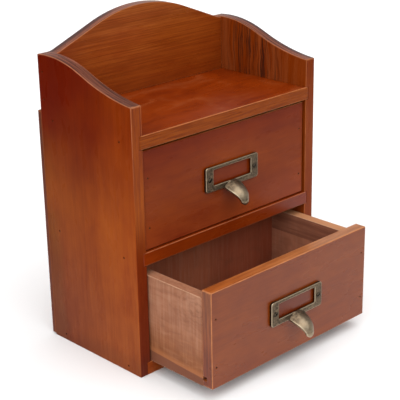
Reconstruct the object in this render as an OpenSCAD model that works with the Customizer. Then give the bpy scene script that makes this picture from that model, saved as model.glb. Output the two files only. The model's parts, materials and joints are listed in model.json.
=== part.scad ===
// Small desktop chest with two drawers, a gallery shelf on top and an arched back board.
// Origin: centre of the footprint of the case, on the surface it stands on. +Z up, front towards -Y.
// Millimetres. The upper drawer is shut and the lower drawer stands partly open.

/* [Case] */
// Width over the two side boards
case_w = 200; // [170:1:260]
// Depth of the side boards, without the back panel
case_d = 107.5; // [95:0.5:150]
// Thickness of the side boards
side_t = 10; // [8:0.5:14]
// Thickness of the top board, the middle shelf and the bottom board
board_t = 10.5; // [8.5:0.5:14]
// Clear height of each drawer opening
opening_h = 81.25; // [66:0.25:110]
// Depth of the housings that hold the boards' ends in the sides
housing_depth = 3; // [2:0.5:5]
// Play between a board and its housing
housing_fit = 0.1; // [0:0.05:0.3]
// Flat left by easing the long edges of the boards
ease = 0.8; // [0.3:0.1:1.5]

/* [Gallery sides] */
// Height of the highest point of the sides above the gallery shelf
side_crown_h = 46; // [34:0.5:70]
// Distance of that point in front of the rear edge
crown_from_back = 11.5; // [4:0.5:20]
// Fall of the ogee from the crown to its foot
side_fall = 23.7; // [12:0.1:30]
// Distance that the foot of the ogee would lie in front of the edge that cuts it
foot_overrun = 16; // [4:0.5:30]
// Radius of the crown of the ogee
side_crown_r = 97; // [40:1:110]
// Steepness of the ogee, in multiples of the straight line between its ends
side_steepness = 1.86; // [1.6:0.01:1.95]

/* [Crest board] */
// Thickness of the arched back board
crest_t = 10; // [7:0.5:14]
// Height of its middle above the gallery shelf
crest_h = 70.4; // [60:0.1:100]
// Fall of the arch from its middle to its ends
crest_fall = 25; // [12:0.5:34]
// Radius of the hollow at each end of the arch
crest_foot_r = 14; // [6:1:40]
// Steepness of the arch, in multiples of the straight line between its ends
crest_steepness = 1.39; // [1.3:0.01:1.9]

/* [Back panel] */
// Thickness of the plywood back
back_t = 3.8; // [2.5:0.1:6]
// Gap between the surface underneath and the lower edge of the panel
back_lift = 1; // [0.5:0.5:6]

/* [Drawers] */
// Distance that the shut drawer's face lies behind the front edges
front_recess = 2; // [0.5:0.5:5]
// Gap on each side of the drawer
drawer_side_gap = 1.3; // [0.5:0.1:3]
// Gap over the drawer's front
front_top_gap = 2; // [1:0.1:4]
// Gap between the drawer's front and the board below it
front_lift = 0.8; // [0.5:0.1:2]
// Play under the drawer's sides, where they slide
runner_gap = 0.2; // [0.1:0.05:0.4]
// Gap between the shut drawer and the back panel
drawer_back_gap = 2; // [1:0.5:8]
// Thickness of the drawer's front
front_t = 10; // [8:0.5:14]
// Thickness of the drawer's sides and back
box_t = 9; // [7:0.5:12]
// Distance that the drawer's sides stop below the top of its front
box_drop = 6.5; // [3:0.5:20]
// Thickness of the drawer's plywood bottom
bottom_t = 3; // [2:0.5:5]
// Height of the bottom above the lower edge of the sides
bottom_lift = 5.5; // [3.5:0.5:10]
// Depth of the grooves that hold the bottom
groove_depth = 4; // [2:0.5:5]
// Play of the bottom in its grooves
groove_fit = 0.15; // [0.05:0.05:0.4]
// Distance that the lower drawer stands open
lower_open = 69; // [0:1:80]

/* [Pulls] */
// Width of the label frame
pull_w = 58.5; // [50:0.5:80]
// Height of the label frame
pull_h = 20.5; // [17:0.5:30]
// Thickness of the label frame
pull_t = 2.5; // [1.8:0.1:4]
// Radius of the corners of the frame
pull_corner_r = 2.2; // [0.5:0.1:4]
// Width of the label window
window_w = 42; // [34:0.5:44]
// Height of the label window
window_h = 13; // [9:0.5:14]
// Height of the bar below the window
low_bar_h = 4.8; // [3.8:0.1:6]
// Width of the slot for the label beyond each side of the window
label_margin = 2; // [1:0.25:3]
// Depth of the slot for the label in the back of the frame
label_slot = 0.9; // [0.5:0.1:1.2]
// Distance of the pull to the right of the drawer's middle
pull_offset = 2.5; // [-10:0.5:10]
// Half width of the finger tongue where it leaves the frame
tongue_root_w = 9.2; // [7.5:0.1:12]
// Radius of the rounded tip of the tongue
tongue_tip_r = 4.2; // [3.5:0.1:6]
// Distance that the tongue stands out from the frame
tongue_reach = 14.2; // [10:0.1:20]
// Distance that the tongue hangs below the frame
tongue_drop = 13.2; // [8:0.1:16]
// Thickness of the tongue
tongue_t = 1.8; // [1.2:0.1:3]
// Crown across the tongue where it is widest
tongue_crown = 3.9; // [0.5:0.1:4]
// Distance of the tongue's root below the window, at its two edges
tongue_below_window = 4.1; // [3.5:0.1:4.6]
// Angle below the level at which the tongue leaves the frame, in degrees
tongue_leave_angle = 20; // [10:1:45]
// Length over which the tongue keeps that direction
tongue_leave = 10.5; // [5:0.5:12]
// Length over which the tip hangs straight down
tongue_hang = 9; // [4:0.5:11]

/* [Fasteners] */
// Distance between the two screws of a pull
screw_spacing = 50; // [49:0.5:51]
// Diameter of the screw's shank
screw_d = 2.2; // [1.6:0.1:2.8]
// Diameter of the screw's head
screw_head_d = 4; // [3.5:0.1:5]
// Height of the screw's head
screw_head_h = 0.9; // [0.6:0.1:1.5]
// Length of the screw under its head
screw_len = 10.5; // [8:0.5:12]
// Width of the slot in the screw's head
screw_slot_w = 0.8; // [0.5:0.1:1]
// Diameter of the pins in the case and the drawers
brad_d = 1.6; // [1.2:0.1:2]
// Length of those pins
brad_len = 22; // [18:0.5:26]
// Depth that the pins are set below the surface
brad_set = 0.6; // [0.3:0.1:1.5]
// Distance of the pins from the front and rear edges of the case
brad_inset = 14.5; // [8:0.5:25]
// Height of the lower pins above the drawer's lower edge
pin_low = 17.5; // [12:0.5:24]
// Height of the upper pins above the drawer's lower edge
pin_high = 57; // [45:0.5:60]
// Diameter of the small nails of the back panel
tack_d = 1.2; // [0.8:0.1:1.6]
// Diameter of the heads of those nails
tack_head_d = 2.6; // [2:0.1:3.5]
// Height of the heads
tack_head_h = 0.5; // [0.3:0.1:0.8]
// Length of the nails under their heads
tack_len = 13; // [9:0.5:15]
// Distance of the outer nails from the top and bottom of the panel
tack_inset = 30; // [18:1:40]
// Radial clearance of every bored hole round its fastener
hole_fit = 0.05; // [0.02:0.01:0.1]

/* [Hidden] */

$fn = 48;
arc_steps = 16;
cut = 1; // how far a cutting tool runs past the face it opens

// Case
front_y = -(case_d + back_t) / 2;
rear_y = front_y + case_d;
inner_w = case_w - 2 * side_t;
board_w = inner_w + 2 * housing_depth;
shelf_z = board_t + opening_h;
top_z = shelf_z + board_t + opening_h;
gallery_z = top_z + board_t;
board_levels = [0, shelf_z, top_z];
board_edge_ys = [front_y + brad_inset, rear_y - brad_inset];

// Gallery
crown_y = rear_y - crown_from_back;
crown_z = gallery_z + side_crown_h;
side_run = crown_y - front_y + foot_overrun;
side_curve = ogee(side_run, side_fall, side_steepness, side_crown_r);
crest_z = gallery_z + crest_h;
crest_crown_r = ogee_radii(inner_w / 2, crest_fall, crest_steepness) - crest_foot_r;
crest_curve = ogee(inner_w / 2, crest_fall, crest_steepness, crest_crown_r);
crest_pin_y = rear_y - crest_t / 2;
crest_pin_zs = [gallery_z + 10, gallery_z + 32];

// Drawer, measured from the middle of its shut face at the lower edge of its sides
drawer_w = inner_w - 2 * drawer_side_gap;
drawer_len = case_d - front_recess - drawer_back_gap;
front_z = front_lift - runner_gap;
front_h = opening_h - front_lift - front_top_gap;
box_h = front_z + front_h - box_drop;
box_inner_w = drawer_w - 2 * box_t;
box_inner_d = drawer_len - front_t - box_t;
groove_h = bottom_t + 2 * groove_fit;
groove_z = bottom_lift - groove_fit;
pin_x = drawer_w / 2 - box_t / 2;
pin_zs = [pin_low, pin_high];
drawer_front_y = front_y + front_recess;

// Pull, measured from the middle of the frame's back
pull_z = front_z + front_h / 2;
window_z = -pull_h / 2 + low_bar_h;
screw_xs = [-screw_spacing / 2, screw_spacing / 2];
tongue_bite = 1.4; // how deep the tongue's root is sunk into the bar
tongue_steps = 14;
tongue_ribs = 8;
tongue_root = [tongue_bite - pull_t, window_z - tongue_below_window + tongue_bite * tan(tongue_leave_angle)];
tongue_tip = [-pull_t - tongue_reach, -pull_h / 2 - tongue_drop];
tongue_path = [
    tongue_root,
    tongue_root - tongue_leave * [cos(tongue_leave_angle), sin(tongue_leave_angle)],
    tongue_tip + [0, tongue_hang],
    tongue_tip
];
tongue_len = path_length(tongue_path);
tongue_taper_end = 1 - tongue_tip_r / tongue_len; // share of the length where the round tip starts
tongue_end_w = 0.6; // half width of the blunt end of the tip

// Back panel
panel_h = gallery_z - back_lift;
tack_x = case_w / 2 - side_t / 2;
tack_zs = [tack_inset, gallery_z / 2 + 12, gallery_z - tack_inset];

// Sum of the two radii of an ogee that falls by fall over run
function ogee_radii(run, fall, steepness) =
    let (a = steepness * atan(fall / run))
    (run * sin(a) - fall * cos(a)) / (1 - cos(a));

// Points of an ogee as distance from its crown and drop below it: arc, straight, arc
function ogee(run, fall, steepness, crown_r) =
    let (a = steepness * atan(fall / run))
    let (foot_r = ogee_radii(run, fall, steepness) - crown_r)
    concat(
        [for (i = [0 : arc_steps]) crown_r * [sin(a * i / arc_steps), 1 - cos(a * i / arc_steps)]],
        [for (i = [arc_steps : -1 : 0])
            [run, fall] - foot_r * [sin(a * i / arc_steps), 1 - cos(a * i / arc_steps)]]
    );

// A point of a cubic curve, its direction there, and the length of the whole curve
function bezier(p, t) =
    pow(1 - t, 3) * p[0] + 3 * pow(1 - t, 2) * t * p[1] + 3 * (1 - t) * t * t * p[2] + pow(t, 3) * p[3];
function bezier_way(p, t) =
    let (v = pow(1 - t, 2) * (p[1] - p[0]) + 2 * (1 - t) * t * (p[2] - p[1]) + t * t * (p[3] - p[2]))
    v / norm(v);

function path_length(p, i = 1) =
    i > arc_steps ? 0
        : norm(bezier(p, i / arc_steps) - bezier(p, (i - 1) / arc_steps)) + path_length(p, i + 1);

module eased_rectangle(w, h) {
    polygon([
        [ease, 0], [w - ease, 0], [w, ease], [w, h - ease],
        [w - ease, h], [ease, h], [0, h - ease], [0, ease]
    ]);
}

// A board with all its edges eased, from the origin to [w, d, h]
module eased_board(w, d, h) {
    intersection() {
        linear_extrude(h) eased_rectangle(w, d);
        translate([0, d, 0]) rotate([90, 0, 0]) linear_extrude(d) eased_rectangle(w, h);
        rotate([90, 0, 90]) linear_extrude(w) eased_rectangle(d, h);
    }
}

// Holes or pins along X through both side boards into the boards between them
module at_case_pins() {
    for (side = [-1, 1]) {
        for (y = board_edge_ys, z = board_levels)
            translate([side * case_w / 2, y, z + board_t / 2]) rotate([0, -side * 90, 0]) children();
        for (z = crest_pin_zs)
            translate([side * case_w / 2, crest_pin_y, z]) rotate([0, -side * 90, 0]) children();
    }
}

module pin() {
    translate([0, 0, brad_set]) cylinder(d = brad_d, h = brad_len);
}

module pin_hole() {
    translate([0, 0, -cut]) cylinder(d = brad_d + 2 * hole_fit, h = brad_len + brad_set + cut + hole_fit);
}

module at_back_nails() {
    for (side = [-1, 1], z = tack_zs)
        translate([side * tack_x, rear_y + back_t, z]) rotate([90, 0, 0]) children();
    for (side = [-1, 1], z = board_levels)
        translate([side * inner_w / 4, rear_y + back_t, z + board_t / 2]) rotate([90, 0, 0]) children();
}

module nail() {
    cylinder(d = tack_d, h = tack_len);
    translate([0, 0, -tack_head_h]) cylinder(d = tack_head_d, h = tack_head_h);
}

module nail_hole() {
    translate([0, 0, -cut]) cylinder(d = tack_d + 2 * hole_fit, h = tack_len + cut + hole_fit);
}

// Outline of a side board, as seen from its outer face: depth across, height up
module side_outline() {
    reach = crown_y - front_y;
    polygon(concat(
        [[front_y, 0], [rear_y, 0]],
        [for (i = [4 : -1 : 1])
            let (d = crown_from_back * i / 4)
            [crown_y + d, crown_z - side_crown_r + sqrt(pow(side_crown_r, 2) - d * d)]],
        [for (p = side_curve) if (p[0] < reach) [crown_y - p[0], crown_z - p[1]]],
        [[front_y, crown_z - lookup(reach, side_curve)]]
    ));
}

// Space that a board between the sides takes, with its play; the lowest one is open below
module housing(z) {
    below = z > 0 ? housing_fit : cut;
    translate([-board_w / 2 - housing_fit, front_y - cut, z - below])
        cube([board_w + 2 * housing_fit, case_d + 2 * cut, board_t + housing_fit + below]);
}

module side_board(side) {
    color("sienna") difference() {
        translate([side > 0 ? case_w / 2 - side_t : -case_w / 2, 0, 0])
            rotate([90, 0, 90]) linear_extrude(side_t) side_outline();
        for (z = board_levels) housing(z);
        at_case_pins() pin_hole();
        at_back_nails() nail_hole();
    }
}

module cross_board(z) {
    color("chocolate") difference() {
        translate([-board_w / 2, front_y, z]) eased_board(board_w, case_d, board_t);
        at_case_pins() pin_hole();
        at_back_nails() nail_hole();
    }
}

module side_left() { side_board(-1); }
module side_right() { side_board(1); }
module top_board() { cross_board(top_z); }
module middle_shelf() { cross_board(shelf_z); }
module bottom_board() { cross_board(0); }

module crest_board() {
    color("sienna") difference() {
        translate([0, rear_y, 0]) rotate([90, 0, 0]) linear_extrude(crest_t) polygon(concat(
            [[-inner_w / 2, gallery_z], [inner_w / 2, gallery_z]],
            [for (i = [len(crest_curve) - 1 : -1 : 1]) [crest_curve[i][0], crest_z - crest_curve[i][1]]],
            [for (p = crest_curve) [-p[0], crest_z - p[1]]]
        ));
        at_case_pins() pin_hole();
    }
}

module back_panel() {
    color("peru") difference() {
        translate([-case_w / 2, rear_y, back_lift]) cube([case_w, back_t, panel_h]);
        at_back_nails() nail_hole();
    }
}

module case_pins() {
    color("dimgray") at_case_pins() pin();
}

module back_panel_nails() {
    color("dimgray") at_back_nails() nail();
}

// Pins through the drawer's face into the ends of its sides, and through the sides into the back
module at_drawer_pins() {
    for (side = [-1, 1], z = pin_zs) {
        translate([side * pin_x, 0, z]) rotate([-90, 0, 0]) children();
        translate([side * drawer_w / 2, drawer_len - box_t / 2, z]) rotate([0, -side * 90, 0]) children();
    }
}

module bottom_groove() {
    translate([
        -box_inner_w / 2 - groove_depth - groove_fit,
        front_t - groove_depth - groove_fit,
        groove_z
    ])
        cube([
            box_inner_w + 2 * groove_depth + 2 * groove_fit,
            box_inner_d + 2 * groove_depth + 2 * groove_fit,
            groove_h
        ]);
}

// The groove in a drawer's front is ploughed right through, so it shows at both ends
module front_groove() {
    translate([-drawer_w / 2 - cut, front_t - groove_depth - groove_fit, groove_z])
        cube([drawer_w + 2 * cut, groove_depth + groove_fit + cut, groove_h]);
}

module drawer_front() {
    color("brown") difference() {
        translate([-drawer_w / 2, 0, front_z]) eased_board(drawer_w, front_t, front_h);
        front_groove();
        at_drawer_pins() pin_hole();
        at_pull() screw_holes();
    }
}

module drawer_side(side) {
    color("rosybrown") difference() {
        translate([side > 0 ? drawer_w / 2 - box_t : -drawer_w / 2, front_t, 0])
            eased_board(box_t, drawer_len - front_t, box_h);
        bottom_groove();
        at_drawer_pins() pin_hole();
    }
}

module drawer_back() {
    color("rosybrown") difference() {
        translate([-box_inner_w / 2, drawer_len - box_t, 0]) eased_board(box_inner_w, box_t, box_h);
        bottom_groove();
        at_drawer_pins() pin_hole();
    }
}

module drawer_bottom() {
    color("burlywood")
        translate([-box_inner_w / 2 - groove_depth, front_t - groove_depth, bottom_lift])
            cube([box_inner_w + 2 * groove_depth, box_inner_d + 2 * groove_depth, bottom_t]);
}

module drawer_pins() {
    color("dimgray") at_drawer_pins() pin();
}

module at_pull() {
    translate([pull_offset, 0, pull_z]) children();
}

module rounded_rectangle(w, h, r) {
    square([w - 2 * r, h], center = true);
    square([w, h - 2 * r], center = true);
    for (x = [-1, 1], z = [-1, 1]) translate([x * (w / 2 - r), z * (h / 2 - r)]) circle(r);
}

// Half width of the tongue at a share s of its length: an even taper that ends in a round tip
function tongue_half_width(s) =
    let (k = min(s / tongue_taper_end, 1))
    s < tongue_taper_end
        ? tongue_root_w + (tongue_tip_r - tongue_root_w) * (0.65 * k + 0.35 * k * k)
        : max(sqrt(max(pow(tongue_tip_r, 2) - pow((s - tongue_taper_end) * tongue_len, 2), 0)), tongue_end_w);

// One cross-section of the tongue: the upper face from left to right, then the lower face back
function tongue_ring(s) =
    let (at = bezier(tongue_path, s), way = bezier_way(tongue_path, s), up = [way[1], -way[0]])
    let (w = tongue_half_width(s), crown = tongue_crown * w / tongue_root_w)
    let (rise = [for (j = [0 : tongue_ribs]) crown * (1 - pow(2 * j / tongue_ribs - 1, 2))])
    let (xs = [for (j = [0 : tongue_ribs]) w * (2 * j / tongue_ribs - 1)])
    concat(
        [for (j = [0 : tongue_ribs]) let (q = at + up * rise[j]) [xs[j], q[0], q[1]]],
        [for (j = [tongue_ribs : -1 : 0]) let (q = at + up * (rise[j] - tongue_t)) [xs[j], q[0], q[1]]]
    );

// Finger tongue that starts inside the lower bar, curves forwards and hangs down
module tongue() {
    rings = [for (i = [0 : tongue_steps]) tongue_ring(i / tongue_steps)];
    n = len(rings[0]);
    to_tip = tongue_steps * n * [1, 1, 1];
    polyhedron(
        points = [for (ring = rings) for (p = ring) p],
        faces = concat(
            [for (j = [0 : tongue_ribs - 1]) [n - 1 - j, n - 2 - j, j + 1]],
            [for (j = [0 : tongue_ribs - 1]) [n - 1 - j, j + 1, j]],
            [for (j = [0 : tongue_ribs - 1]) to_tip + [j, j + 1, n - 2 - j]],
            [for (j = [0 : tongue_ribs - 1]) to_tip + [j, n - 2 - j, n - 1 - j]],
            [for (i = [0 : tongue_steps - 1], j = [0 : n - 1])
                [i * n + j, i * n + (j + 1) % n, (i + 1) * n + j]],
            [for (i = [0 : tongue_steps - 1], j = [0 : n - 1])
                [i * n + (j + 1) % n, (i + 1) * n + (j + 1) % n, (i + 1) * n + j]]
        )
    );
}

module label_frame() {
    difference() {
        rotate([90, 0, 0]) linear_extrude(pull_t) difference() {
            rounded_rectangle(pull_w, pull_h, pull_corner_r);
            translate([-window_w / 2, window_z]) square([window_w, window_h]);
        }
        translate([-window_w / 2 - label_margin, -label_slot, window_z - label_margin])
            cube([window_w + 2 * label_margin, label_slot + cut, pull_h]);
        screw_holes();
    }
}

module pull() {
    color("darkkhaki") {
        label_frame();
        tongue();
    }
}

module screw_holes() {
    for (x = screw_xs)
        translate([x, -pull_t - cut, 0]) rotate([-90, 0, 0])
            cylinder(d = screw_d + 2 * hole_fit, h = screw_len + cut + hole_fit);
}

module pull_screws() {
    color("dimgray") for (x = screw_xs)
        translate([x, -pull_t, 0]) rotate([-90, 0, 0]) {
            cylinder(d = screw_d, h = screw_len);
            difference() {
                translate([0, 0, -screw_head_h]) cylinder(d = screw_head_d, h = screw_head_h);
                translate([-screw_slot_w / 2, -screw_head_d / 2, -screw_head_h])
                    cube([screw_slot_w, screw_head_d, screw_head_h / 2]);
            }
        }
}

module in_upper_bay() {
    translate([0, drawer_front_y, shelf_z + board_t + runner_gap]) children();
}

module in_lower_bay() {
    translate([0, drawer_front_y - lower_open, board_t + runner_gap]) children();
}

module upper_drawer_front() { in_upper_bay() drawer_front(); }
module upper_drawer_side_left() { in_upper_bay() drawer_side(-1); }
module upper_drawer_side_right() { in_upper_bay() drawer_side(1); }
module upper_drawer_back() { in_upper_bay() drawer_back(); }
module upper_drawer_bottom() { in_upper_bay() drawer_bottom(); }
module upper_drawer_pins() { in_upper_bay() drawer_pins(); }
module upper_pull() { in_upper_bay() at_pull() pull(); }
module upper_pull_screws() { in_upper_bay() at_pull() pull_screws(); }
module lower_drawer_front() { in_lower_bay() drawer_front(); }
module lower_drawer_side_left() { in_lower_bay() drawer_side(-1); }
module lower_drawer_side_right() { in_lower_bay() drawer_side(1); }
module lower_drawer_back() { in_lower_bay() drawer_back(); }
module lower_drawer_bottom() { in_lower_bay() drawer_bottom(); }
module lower_drawer_pins() { in_lower_bay() drawer_pins(); }
module lower_pull() { in_lower_bay() at_pull() pull(); }
module lower_pull_screws() { in_lower_bay() at_pull() pull_screws(); }

side_left();
side_right();
top_board();
middle_shelf();
bottom_board();
crest_board();
back_panel();
case_pins();
back_panel_nails();
upper_drawer_front();
upper_drawer_side_left();
upper_drawer_side_right();
upper_drawer_back();
upper_drawer_bottom();
upper_drawer_pins();
upper_pull();
upper_pull_screws();
lower_drawer_front();
lower_drawer_side_left();
lower_drawer_side_right();
lower_drawer_back();
lower_drawer_bottom();
lower_drawer_pins();
lower_pull();
lower_pull_screws();
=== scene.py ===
"""Small two-drawer desk chest: stained wood boards, ply drawer bottoms, antiqued brass label pulls."""
import json
import math
import random

import bmesh
import bpy
import numpy as np
from mathutils import Matrix, Vector


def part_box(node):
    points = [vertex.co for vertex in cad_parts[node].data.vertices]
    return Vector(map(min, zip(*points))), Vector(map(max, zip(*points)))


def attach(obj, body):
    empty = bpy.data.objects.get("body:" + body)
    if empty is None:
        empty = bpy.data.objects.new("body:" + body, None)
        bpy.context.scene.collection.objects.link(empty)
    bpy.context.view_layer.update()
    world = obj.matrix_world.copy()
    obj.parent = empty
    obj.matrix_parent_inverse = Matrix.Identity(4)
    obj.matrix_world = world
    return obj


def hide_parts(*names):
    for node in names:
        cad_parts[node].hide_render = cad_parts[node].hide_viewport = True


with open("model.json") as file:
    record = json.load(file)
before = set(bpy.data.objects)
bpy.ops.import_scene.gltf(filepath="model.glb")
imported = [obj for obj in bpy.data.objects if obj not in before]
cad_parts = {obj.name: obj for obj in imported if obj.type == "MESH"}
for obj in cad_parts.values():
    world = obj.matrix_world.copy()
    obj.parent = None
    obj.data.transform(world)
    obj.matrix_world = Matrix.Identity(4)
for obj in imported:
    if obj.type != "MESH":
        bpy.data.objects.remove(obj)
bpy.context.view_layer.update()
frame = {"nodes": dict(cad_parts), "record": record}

MM = 0.001
BODY_OF = {node: body for body, nodes in frame["record"]["behaviour"]["bodies"].items() for node in nodes}

# Arrises of the boards, in millimetres
ARRIS = 0.5  # radius along the edges
CORNER = 0.7  # radius of the outline's corners
FADE = 0.5  # width over which the wear of an arris fades out

# Ogees of the sides and of the crest, as in the CAD source
SIDE_OGEE = dict(run=107.5 - 11.5 + 16, fall=23.7, steepness=1.86, crown_r=97)
SIDE_CROWN_BACK = 11.5
CREST_OGEE = dict(run=90, fall=25, steepness=1.39, foot_r=14)
ARC_STEPS = 22

# Fasteners
PIN_R, PIN_SET, PIN_LEN, HOLE_FIT = 0.8, 0.6, 22, 0.05
SCREW_R, SCREW_LEN, SCREW_SPACING, HEAD_R, HEAD_H, SLOT_W = 1.1, 10.5, 50, 2.0, 0.9, 0.7

# Pulls, as in the CAD source, measured from the middle of the frame's back
PULL_W, PULL_H, PULL_T, PULL_CORNER = 58.5, 20.5, 2.5, 2.2
WINDOW = (-21.0, -5.45, 21.0, 7.55)
LABEL_MARGIN, LABEL_SLOT = 2.0, 0.9
TONGUE = dict(root_w=9.2, tip_r=4.2, t=1.8, crown=3.9)
TONGUE_PATH = [Vector(p) for p in ((-1.1, -9.04), (-10.967, -12.632), (-16.7, -14.45), (-16.7, -23.45))]
VOXEL = 0.28


def camera():
    """Camera at the photograph's viewing angle, from the angles and the lens that fit it."""
    az, el, roll = (math.radians(a) for a in (-43.894, 20.642, -1.091))
    back = Vector((math.sin(az) * math.cos(el), -math.cos(az) * math.cos(el), math.sin(el)))
    right = Vector((math.cos(az), math.sin(az), 0))
    up = back.cross(right)
    across = right * math.cos(roll) + up * math.sin(roll)
    upward = up * math.cos(roll) - right * math.sin(roll)
    data = bpy.data.cameras.new("photo_camera")
    data.sensor_width = 36
    data.lens = 105.04
    data.clip_start, data.clip_end = 0.05, 20
    obj = bpy.data.objects.new("photo_camera", data)
    bpy.context.scene.collection.objects.link(obj)
    rotation = Matrix((across, upward, back)).transposed().to_4x4()
    obj.matrix_world = Matrix.Translation(Vector((-618.6, -663.95, 447.1)) * MM) @ rotation
    bpy.context.scene.camera = obj


# Materials


def add(tree, kind, inputs=None, **settings):
    """A node with its settings, and with numbers or other nodes' sockets on its inputs."""
    node = tree.nodes.new(kind)
    for key, value in settings.items():
        setattr(node, key, value)
    for key, value in (inputs or {}).items():
        socket = node.inputs[key]
        if isinstance(value, bpy.types.NodeSocket):
            tree.links.new(value, socket)
        else:
            socket.default_value = value
    return node


def new_material(name):
    material = bpy.data.materials.new(name)
    material.use_nodes = True
    material.node_tree.nodes.clear()
    return material, material.node_tree


def colour(r, g, b):
    return (r, g, b, 1)


def mix(tree, factor, a, b, blend="MIX"):
    """Colour mix whose result socket is returned."""
    node = add(tree, "ShaderNodeMix", data_type="RGBA", blend_type=blend)
    for index, value in ((0, factor), (6, a), (7, b)):
        if isinstance(value, bpy.types.NodeSocket):
            tree.links.new(value, node.inputs[index])
        else:
            node.inputs[index].default_value = value
    return node.outputs[2]


def maths(tree, operation, a, b=0.0, clamp=False):
    return add(tree, "ShaderNodeMath", {0: a, 1: b}, operation=operation, use_clamp=clamp).outputs[0]


def span(tree, value, low, high, to_low=0.0, to_high=1.0):
    """Smooth step of value from low to high."""
    return add(
        tree,
        "ShaderNodeMapRange",
        {"Value": value, "From Min": low, "From Max": high, "To Min": to_low, "To Max": to_high},
        interpolation_type="SMOOTHSTEP",
    ).outputs[0]


def noise(tree, vector, scale, detail=2.0, rough=0.5, distortion=0.0):
    return add(
        tree,
        "ShaderNodeTexNoise",
        {"Vector": vector, "Scale": scale, "Detail": detail, "Roughness": rough, "Distortion": distortion},
    ).outputs["Fac"]


def stretched(tree, vector, along, across, depth):
    """Coordinates along the grain, scaled so that a noise of scale 1 gives streaks."""
    return add(
        tree, "ShaderNodeVectorMath", {0: vector, 1: (along, across, depth)}, operation="MULTIPLY"
    ).outputs[0]


def wood(name, dark, light, worn, rough=(0.26, 0.33), streaks=0.3, blotch=0.35, mottle=0.6, fibre=0.75, pores=0.2,
         wear=0.75, worn_from=None, gloss=0.2, bump=0.05, figure_and_shade=None):
    """Stained board. The attribute grain holds metres along, across and through; wear is 1 on the arrises.
    worn_from gives the heights between which the arrises' worn colour sets in, on the left side also a painted
    highlight."""
    material, tree = new_material(name)
    grain = add(tree, "ShaderNodeAttribute", attribute_name="grain").outputs["Vector"]
    edge = add(tree, "ShaderNodeAttribute", attribute_name="wear").outputs["Fac"]
    drift = noise(tree, stretched(tree, grain, 6, 16, 16), 1, 2)
    sway = add(tree, "ShaderNodeVectorMath", {0: (0, 0.012, 0.012), 3: drift}, operation="SCALE").outputs[0]
    bent = add(tree, "ShaderNodeVectorMath", {0: grain, 1: sway}, operation="ADD").outputs[0]
    bands = noise(tree, stretched(tree, bent, 3, 110, 110), 1, 4, 0.55)
    fine = noise(tree, stretched(tree, bent, 14, 760, 760), 1, 3, 0.6)
    pore = span(tree, noise(tree, stretched(tree, bent, 45, 1900, 1900), 1, 2, 0.6), 0.58, 0.74)
    cloud = noise(tree, stretched(tree, grain, 13, 24, 24), 1, 3, 0.5, 0.3)
    patch = noise(tree, stretched(tree, grain, 55, 110, 110), 1, 3, 0.6, 0.5)
    tone = maths(tree, "ADD", maths(tree, "MULTIPLY", span(tree, bands, 0.28, 0.72), streaks), 0.15)
    tone = maths(tree, "ADD", tone, maths(tree, "MULTIPLY", span(tree, cloud, 0.28, 0.72), blotch))
    tone = maths(tree, "ADD", tone, maths(tree, "MULTIPLY", maths(tree, "SUBTRACT", patch, 0.5), mottle))
    tone = maths(tree, "ADD", tone, maths(tree, "MULTIPLY", maths(tree, "SUBTRACT", fine, 0.5), fibre), clamp=True)
    base = mix(tree, tone, colour(*dark), colour(*light))
    base = mix(tree, maths(tree, "MULTIPLY", pore, pores), base, colour(*(0.5 * c for c in dark)))
    if figure_and_shade:
        base = figure_and_shade(tree, base)
    scuff = noise(tree, stretched(tree, grain, 130, 130, 130), 1, 3, 0.6)
    rubbed = span(tree, maths(tree, "ADD", edge, maths(tree, "MULTIPLY", scuff, 0.7)), 0.85, 1.5)
    amount = maths(tree, "MULTIPLY", rubbed, wear)
    if worn_from:
        amount = maths(tree, "MULTIPLY", amount, span(tree, spot(tree)[1][2], *worn_from))
    base = mix(tree, amount, base, colour(*worn))
    sheen = span(tree, noise(tree, stretched(tree, grain, 20, 60, 60), 1, 3, 0.6), 0.3, 0.7, *rough)
    sheen = maths(tree, "ADD", sheen, maths(tree, "MULTIPLY", edge, 0.15))
    height = maths(tree, "SUBTRACT", maths(tree, "MULTIPLY", fine, 0.6), maths(tree, "MULTIPLY", pore, 0.4))
    relief = add(tree, "ShaderNodeBump", {"Strength": bump, "Distance": 0.0003, "Height": height})
    shader = add(
        tree,
        "ShaderNodeBsdfPrincipled",
        {"Base Color": base, "Roughness": sheen, "Normal": relief.outputs[0]},
    )
    shader.inputs["Specular IOR Level"].default_value = gloss
    add(tree, "ShaderNodeOutputMaterial", {"Surface": shader.outputs[0]})
    return material


# Figures of single boards: each changes the stained colour with the place on the board, and several also paint light
# and shade


def spot(tree):
    """The place on the board as one socket and as three."""
    place = add(tree, "ShaderNodeAttribute", attribute_name="spot").outputs["Vector"]
    return place, add(tree, "ShaderNodeSeparateXYZ", {0: place}).outputs


def facing(tree, axis, low=0.45, high=0.75, to_low=0.0, to_high=1.0):
    """1 on faces whose normal lies along an axis, given as x, y or z, or as +z for the upper ones alone."""
    normal = add(tree, "ShaderNodeTexCoord").outputs["Normal"]
    part = add(tree, "ShaderNodeSeparateXYZ", {0: normal}).outputs["xyz".index(axis[-1])]
    if len(axis) == 1:
        part = maths(tree, "ABSOLUTE", part)
    return span(tree, part, low, high, to_low, to_high)


def product(tree, *values):
    result = values[0]
    for value in values[1:]:
        result = maths(tree, "MULTIPLY", result, value)
    return result


def edge_grain_and_sheen(tree, base, across, dark=(0.060, 0.017, 0.010), light=(0.27, 0.086, 0.046)):
    """Upper edges: grain lines in a greyer, mauve tint, partly a painted reflection of the bright sky; across is the
    axis that crosses the lines.
    """
    place, _ = spot(tree)
    scale = [22, 22, 22]
    scale["xyz".index(across)] = 1000
    lines = noise(tree, stretched(tree, place, *scale), 1, 3, 0.65)
    tint = mix(tree, span(tree, lines, 0.36, 0.64), colour(*dark), colour(*light))
    return mix(tree, product(tree, facing(tree, "+z"), 0.92), base, tint)


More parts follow.
